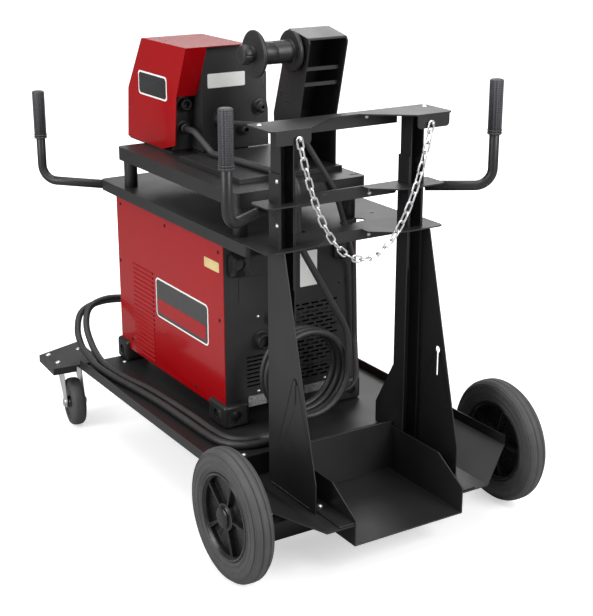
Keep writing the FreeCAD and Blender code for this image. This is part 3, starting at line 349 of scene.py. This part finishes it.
def add_rings(name, rings, axis, made, body="cart", segments=96):
    """Tori about one axis direction; each ring is (centre, ring radius, tube radius)."""
    tube_sides = 8
    side = axis.orthogonal().normalized()
    other = axis.cross(side)
    bm = bmesh.new()
    for centre, ring_radius, tube_radius in rings:
        rows = []
        for i in range(segments):
            around = 2 * math.pi * i / segments
            radial = side * math.cos(around) + other * math.sin(around)
            row = []
            for k in range(tube_sides):
                turn = 2 * math.pi * k / tube_sides
                row.append(bm.verts.new(
                    centre + radial * (ring_radius + tube_radius * math.cos(turn))
                    + axis * (tube_radius * math.sin(turn))))
            rows.append(row)
        for i in range(segments):
            a, b = rows[i], rows[(i + 1) % segments]
            for k in range(tube_sides):
                j = (k + 1) % tube_sides
                bm.faces.new((a[k], b[k], b[j], a[j]))
    face_outward(bm)
    return add_object(bm, name, made, body)


# --------------------------------------------------------------- louvres --
case_lo, case_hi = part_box("case_cover")
LOUVRES = 20
LOUVRE_FIRST, LOUVRE_PITCH = 10, 12  # mm up from the bottom of the cover
LOUVRE_START, LOUVRE_END = 86, 196  # mm back from the front of the cover
# section of one hood in mm: out from the case side, up
LOUVRE_SECTION = [(0.1, 5.2), (1.4, 4.0), (2.2, 1.6), (2.3, -0.4),
                  (1.5, -0.4), (1.3, 1.4), (0.6, 3.2), (0.1, 4.3)]


def add_louvres():
    """Hoods over the slots in both sides of the case."""
    bm = bmesh.new()
    count = len(LOUVRE_SECTION)
    for sign, face_x in ((1, case_hi.x), (-1, case_lo.x)):
        for k in range(LOUVRES):
            z = case_lo.z + (LOUVRE_FIRST + LOUVRE_PITCH * k) * MM
            front, back = (
                [bm.verts.new((face_x + sign * out * MM, case_lo.y + along * MM, z + up * MM))
                 for out, up in LOUVRE_SECTION]
                for along in (LOUVRE_START, LOUVRE_END))
            for i in range(count):
                j = (i + 1) % count
                bm.faces.new((front[i], front[j], back[j], back[i]))
            bm.faces.new(front)
            bm.faces.new(back[::-1])
    face_outward(bm)
    add_object(bm, "louvre_hoods", MATERIALS["red_cover"])


add_louvres()

# ---------------------------------------------------------- blank labels --
LABEL_GAP = 0.00005
CORNER_STEPS = 5
# direction across the label, outward direction, material slot
LABEL_FACES = {"left": (Y_AXIS, X_AXIS, "red_cover"), "rear": (X_AXIS, Y_AXIS, "panel")}


def add_label(name, face, plane, start, bottom, width, height, made,
              thickness=0.0004, radius=0.003, lift=0.0):
    """Upright rounded plate on a +X ("left") or +Y ("rear") face that lies at plane."""
    across, outward, slot = LABEL_FACES[face]
    origin = outward * (plane + LABEL_GAP + lift) + across * start + Z_AXIS * bottom
    radius = min(radius, width / 2.2, height / 2.2)
    corners = ((width - radius, height - radius, 0), (radius, height - radius, 90),
               (radius, radius, 180), (width - radius, radius, 270))
    outline = []
    for centre_x, centre_y, first_angle in corners:
        for k in range(CORNER_STEPS + 1):
            angle = math.radians(first_angle + 90 * k / CORNER_STEPS)
            outline.append((centre_x + radius * math.cos(angle),
                            centre_y + radius * math.sin(angle)))
    bm = bmesh.new()
    under, over = (
        [bm.verts.new(origin + across * x + Z_AXIS * y + outward * level) for x, y in outline]
        for level in (0.0, thickness))
    bm.faces.new(over)
    bm.faces.new(under[::-1])
    for i in range(len(outline)):
        j = (i + 1) % len(outline)
        bm.faces.new((under[i], under[j], over[j], over[i]))
    face_outward(bm)
    add_object(bm, name, made)


# left side of the case: mm forward from its rear (near, far), mm up from its bottom
# (low, high), material, then thickness, corner radius and lift in metres
for name, near, far, low, high, made, thickness, radius, lift in (
        ("badge_rim", 73, 339, 138, 238, label_light, 0.0006, 0.012, 0.0),
        ("badge_face", 77, 335, 142, 234, label_dark, 0.0004, 0.009, 0.0006),
        ("badge_band", 84, 328, 150, 186, MATERIALS["red_cover"], 0.0003, 0.005, 0.001),
        ("case_sticker_left", 18, 87, 329, 352, label_gold, 0.0003, 0.003, 0.0)):
    add_label(name, "left", case_hi.x, case_hi.y - far * MM, case_lo.z + low * MM,
              (far - near) * MM, (high - low) * MM, made, thickness, radius, lift)

# rear panel of the case: mm in x from the middle, mm above the ground
rear_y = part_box("case_rear_panel")[1].y
for name, x0, x1, low, high, made in (
        ("rear_data_plate", -68, -22, 474, 558, label_light),
        ("rear_label_low_left", 70, 118, 208, 234, label_grey),
        ("rear_label_low_right", -120, -34, 209, 230, label_grey)):
    add_label(name, "rear", rear_y, x0 * MM, low * MM,
              (x1 - x0) * MM, (high - low) * MM, made, radius=0.002)

feeder_panel_lo, feeder_panel_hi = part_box("feeder_rear_panel")
add_label("feeder_blank_label", "rear", feeder_panel_hi.y,
          start=-28 * MM, bottom=feeder_panel_lo.z + 147 * MM,
          width=99 * MM, height=33 * MM, made=label_light)

# left side of the feeder: a light rim and, inset from it by margin mm, a dark face
feeder_lo, feeder_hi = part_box("feeder_cover")
for name, made, thickness, lift, margin in (
        ("feeder_badge_rim", label_light, 0.0006, 0.0, 0.0),
        ("feeder_badge_face", label_dark, 0.0004, 0.0006, 4.0)):
    add_label(name, "left", feeder_hi.x,
              start=feeder_lo.y + (72 + margin) * MM, bottom=feeder_lo.z + (116 + margin) * MM,
              width=(150 - 2 * margin) * MM, height=(57 - 2 * margin) * MM,
              made=made, thickness=thickness, radius=0.009, lift=lift)

# ----------------------------------------------------------- weld cables --
CABLE_RADIUS = 0.0085
CABLE_SIDES = 18
CABLE_STEP = 0.006
# height of a cable's centre where it lies on the deck
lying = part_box("deck_plate")[1].z + 0.0095
# x, y from the front of the case, z
WORK_PATH = [
    (0.070, -0.041, 0.262), (0.070, -0.070, 0.272), (0.105, -0.105, 0.288),
    (0.170, -0.112, 0.296), (0.224, -0.098, 0.284), (0.249, -0.066, 0.250),
    (0.256, -0.022, 0.214), (0.257, 0.025, 0.190), (0.255, 0.080, lying),
    (0.248, 0.170, lying), (0.232, 0.270, lying), (0.226, 0.370, lying),
    (0.222, 0.470, lying), (0.222, 0.560, lying), (0.214, 0.620, lying),
    (0.190, 0.650, lying), (0.150, 0.662, lying), (0.105, 0.663, lying)]
ELECTRODE_PATH = [
    (-0.080, -0.041, 0.262), (-0.074, -0.085, 0.262), (-0.020, -0.122, 0.268),
    (0.080, -0.130, 0.276), (0.170, -0.131, 0.284), (0.236, -0.118, 0.272),
    (0.268, -0.080, 0.240), (0.279, -0.034, 0.210), (0.279, 0.010, 0.194),
    (0.277, 0.060, lying + 0.001), (0.272, 0.150, lying), (0.258, 0.260, lying),
    (0.249, 0.370, lying), (0.246, 0.480, lying), (0.244, 0.570, lying),
    (0.236, 0.630, lying), (0.208, 0.672, lying), (0.160, 0.686, lying),
    (0.105, 0.688, lying)]


def catmull_rom(stations):
    """Points about CABLE_STEP apart on a smooth curve through the stations."""
    knots = [stations[0] * 2 - stations[1], *stations, stations[-1] * 2 - stations[-2]]
    points = []
    for a, b, c, d in zip(knots, knots[1:], knots[2:], knots[3:]):
        steps = max(2, int((c - b).length / CABLE_STEP))
        for k in range(steps):
            t = k / steps
            points.append(0.5 * ((2 * b) + (c - a) * t + (2 * a - 5 * b + 4 * c - d) * t * t
                                 + (3 * b - a - 3 * c + d) * t ** 3))
    points.append(stations[-1])
    return points


def add_cable(name, path):
    """Round jacket swept along the path without twist, closed at both ends."""
    points = catmull_rom([Vector((x, case_lo.y + y, z)) for x, y, z in path])
    bm = bmesh.new()
    sections = []
    side = None
    for i, point in enumerate(points):
        ahead = points[min(i + 1, len(points) - 1)]
        behind = points[max(i - 1, 0)]
        along = (ahead - behind).normalized()
        if side is None:
            side = along.orthogonal().normalized()
        side = (side - along * side.dot(along)).normalized()
        other = along.cross(side)
        section = []
        for k in range(CABLE_SIDES):
            turn = 2 * math.pi * k / CABLE_SIDES
            radial = side * math.cos(turn) + other * math.sin(turn)
            section.append(bm.verts.new(point + radial * CABLE_RADIUS))
        sections.append(section)
    for a, b in zip(sections, sections[1:]):
        for k in range(CABLE_SIDES):
            j = (k + 1) % CABLE_SIDES
            bm.faces.new((a[k], a[j], b[j], b[k]))
    bm.faces.new(sections[0][::-1])
    bm.faces.new(sections[-1])
    face_outward(bm)
    return add_object(bm, name, MATERIALS["cable"])


work_cable = add_cable("weld_cable_work", WORK_PATH)
add_cable("weld_cable_electrode", ELECTRODE_PATH)
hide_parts("weld_cables")

# ---------------------------------------------------------------- wheels --
RIB_TUBE = 0.0011
# ribs on each tyre wall: ring radius, depth in from the wall
TYRE_RIBS = [(0.1005, 0.0013), (0.1040, 0.0009), (0.1150, 0.0003),
             (0.1290, 0.0018), (0.1330, 0.0040)]
# lips on the outer side of each rim: ring radius, depth in from the tyre wall, tube radius
RIM_LIPS = [(0.0895, 0.0030, 0.0018), (0.0265, 0.0085, 0.0015)]


def add_wheel_rings(side, sign):
    low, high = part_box("tyre_" + side)
    centre = (low + high) / 2
    outer, inner = (high.x, low.x) if sign > 0 else (low.x, high.x)

    def at(x):
        return Vector((x, centre.y, centre.z))

    ribs = [(at(wall - facing * depth), radius, RIB_TUBE)
            for wall, facing in ((outer, sign), (inner, -sign))
            for radius, depth in TYRE_RIBS]
    lips = [(at(outer - sign * depth), radius, tube) for radius, depth, tube in RIM_LIPS]
    body = "wheel_" + side
    add_rings("tyre_ribs_" + side, ribs, X_AXIS, MATERIALS["tyre"], body)
    # the lips take the lighter rim lip material, a painted highlight on the rim edges
    add_rings("rim_lip_" + side, lips, X_AXIS, rim_lip, body)


add_wheel_rings("left", 1)
add_wheel_rings("right", -1)

# ---------------------------------------------------------- grip collars --
# two raised collars just above the foot of each upright grip
COLLAR_RADIUS, COLLAR_TUBE = 0.0149, 0.0014
COLLAR_RISES = (0.003, 0.009)
HIGH_FOOT, LOW_FOOT = 0.846, 0.743
grips_lo, grips_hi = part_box("handle_grips")
high_y, low_y = grips_hi.y - 0.015, grips_lo.y + 0.015
for i, (x, y, foot) in enumerate((
        (grips_hi.x - 0.015, high_y, HIGH_FOOT), (grips_lo.x + 0.015, high_y, HIGH_FOOT),
        (grips_hi.x - 0.023, low_y, LOW_FOOT), (grips_lo.x + 0.023, low_y, LOW_FOOT))):
    collars = [(Vector((x, y, foot + rise)), COLLAR_RADIUS, COLLAR_TUBE)
               for rise in COLLAR_RISES]
    add_rings("grip_collar_%d" % (i + 1), collars, Z_AXIS, MATERIALS["grip"],
              segments=40)


# ----------------------------------------------------------- weld beads ---
def add_bead(name, start, end, count):
    """Row of slightly scattered, uneven blobs from start to end."""
    blob_radius, scatter = 0.0022, 0.0003
    start, end = Vector(start), Vector(end)
    bm = bmesh.new()
    for i in range(count):
        shift = Vector([random.uniform(-1, 1) for _ in range(3)]) * scatter
        centre = start + (end - start) * ((i + 0.5) / count) + shift
        bmesh.ops.create_icosphere(bm, subdivisions=1,
                                   radius=blob_radius * random.uniform(0.85, 1.15),
                                   matrix=Matrix.Translation(centre))
    add_object(bm, name, MATERIALS["black_steel"])


# along the -Y lower edge of the tray
tray_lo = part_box("cylinder_tray")[0]
tray_y, tray_z = tray_lo.y + 0.0035, tray_lo.z + 0.0035
add_bead("weld_tray_back", (-0.13, tray_y, tray_z), (0.13, tray_y, tray_z), count=60)
# along the foot of each side gusset
gusset_lo, gusset_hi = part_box("side_gussets")
for side, x in (("left", gusset_hi.x), ("right", gusset_lo.x)):
    z = gusset_lo.z + 0.004
    add_bead("weld_gusset_" + side, (x, gusset_lo.y + 0.01, z), (x, gusset_hi.y - 0.02, z),
             count=40)


# ----------------------------------------------------------------- floor --
def floor_material():
    """White paper that glows to the camera alone, and looks darker in reflections."""
    made = material("floor_paper", (0.88, 0.88, 0.88), rough=0.8, tint_drift=0.01,
                    drift_scale=1.0, gloss_drift=0.02, spec=0.1)
    tree = made.node_tree
    shader = shader_of(made)
    ray = add(tree, "LightPath").outputs
    recolour(made, ray["Is Glossy Ray"], (0.42, 0.42, 0.42))
    coords = add(tree, "TexCoord").outputs["Object"]
    distance = add(tree, "VectorMath", {0: coords}, operation="LENGTH").outputs["Value"]
    # the glow rises with distance from the origin
    glow = map_range(tree, distance, from_min=0.5, from_max=2.4, to_min=0.52, to_max=1.0,
                     interpolation_type="SMOOTHSTEP")
    strength = calc(tree, "MULTIPLY", ray["Is Camera Ray"], glow)
    tree.links.new(strength, shader.inputs["Emission Strength"])
    shader.inputs["Emission Color"].default_value = (1, 1, 1, 1)
    return made


def add_floor():
    bm = bmesh.new()
    bmesh.ops.create_grid(bm, x_segments=1, y_segments=1, size=14)
    mesh = bpy.data.meshes.new("floor")
    bm.to_mesh(mesh)
    bm.free()
    floor = bpy.data.objects.new("floor", mesh)
    scene.collection.objects.link(floor)
    floor.location = (0, 0, -0.0006)
    mesh.materials.append(floor_material())


add_floor()

# ---------------------------------------------------------------- lights --
middle = (rest_lo + rest_hi) / 2


def aim(thing, target):
    """Turn a light or camera at its place to look at target."""
    thing.rotation_mode = "QUATERNION"
    thing.rotation_quaternion = (target - thing.location).to_track_quat("-Z", "Y")


def add_softbox(name, offset, width, height, power, target=middle):
    """Rectangular light placed by its offset from the middle of the cart."""
    data = bpy.data.lights.new(name, "AREA")
    data.energy = power
    data.color = (1, 1, 1)
    data.shape = "RECTANGLE"
    data.size = width
    data.size_y = height
    light = bpy.data.objects.new(name, data)
    scene.collection.objects.link(light)
    light.location = middle + Vector(offset)
    aim(light, target)


add_softbox("softbox_top", (0.3, 0.2, 2.7), width=2.4, height=2.4, power=54)
add_softbox("softbox_left", (3.1, 0.1, 1.3), width=1.8, height=2.4, power=80,
            target=middle + Vector((0, 0, 0.1)))
add_softbox("softbox_rear", (-1.1, 3.1, 1.6), width=1.4, height=2.2, power=88)
add_softbox("front_back_light", (-2.0, -2.8, 2.2), width=2.0, height=2.0, power=40)


def add_world():
    """White surroundings: dim as a light, full white to the camera."""
    world = bpy.data.worlds.new("studio")
    scene.world = world
    world.use_nodes = True
    tree = world.node_tree
    tree.nodes.clear()
    white = (1, 1, 1, 1)
    lighting = add(tree, "Background", {"Color": white, "Strength": 0.34})
    backdrop = add(tree, "Background", {"Color": white, "Strength": 1.0})
    mixed = add(tree, "MixShader", {0: add(tree, "LightPath").outputs["Is Camera Ray"],
                                    1: lighting.outputs[0], 2: backdrop.outputs[0]})
    add(tree, "OutputWorld", {0: mixed.outputs[0]})


add_world()
scene.view_settings.view_transform = "Standard"

# ---------------------------------------------------------------- camera --
CAMERA_TARGET = Vector((0.19705, 0.4515, 0.55762))
CAMERA_AZIMUTH = math.radians(32.1)  # from +Y towards +X
CAMERA_ELEVATION = math.radians(18.52)
CAMERA_DISTANCE = 2.64994

camera_data = bpy.data.cameras.new("camera")
camera_data.lens = 77.84
camera_data.sensor_width = 36
camera_data.clip_start = 0.05
camera_data.clip_end = 60
camera = bpy.data.objects.new("camera", camera_data)
scene.collection.objects.link(camera)
scene.camera = camera
camera.location = CAMERA_TARGET + CAMERA_DISTANCE * Vector((
    math.sin(CAMERA_AZIMUTH) * math.cos(CAMERA_ELEVATION),
    math.cos(CAMERA_AZIMUTH) * math.cos(CAMERA_ELEVATION),
    math.sin(CAMERA_ELEVATION)))
aim(camera, CAMERA_TARGET)
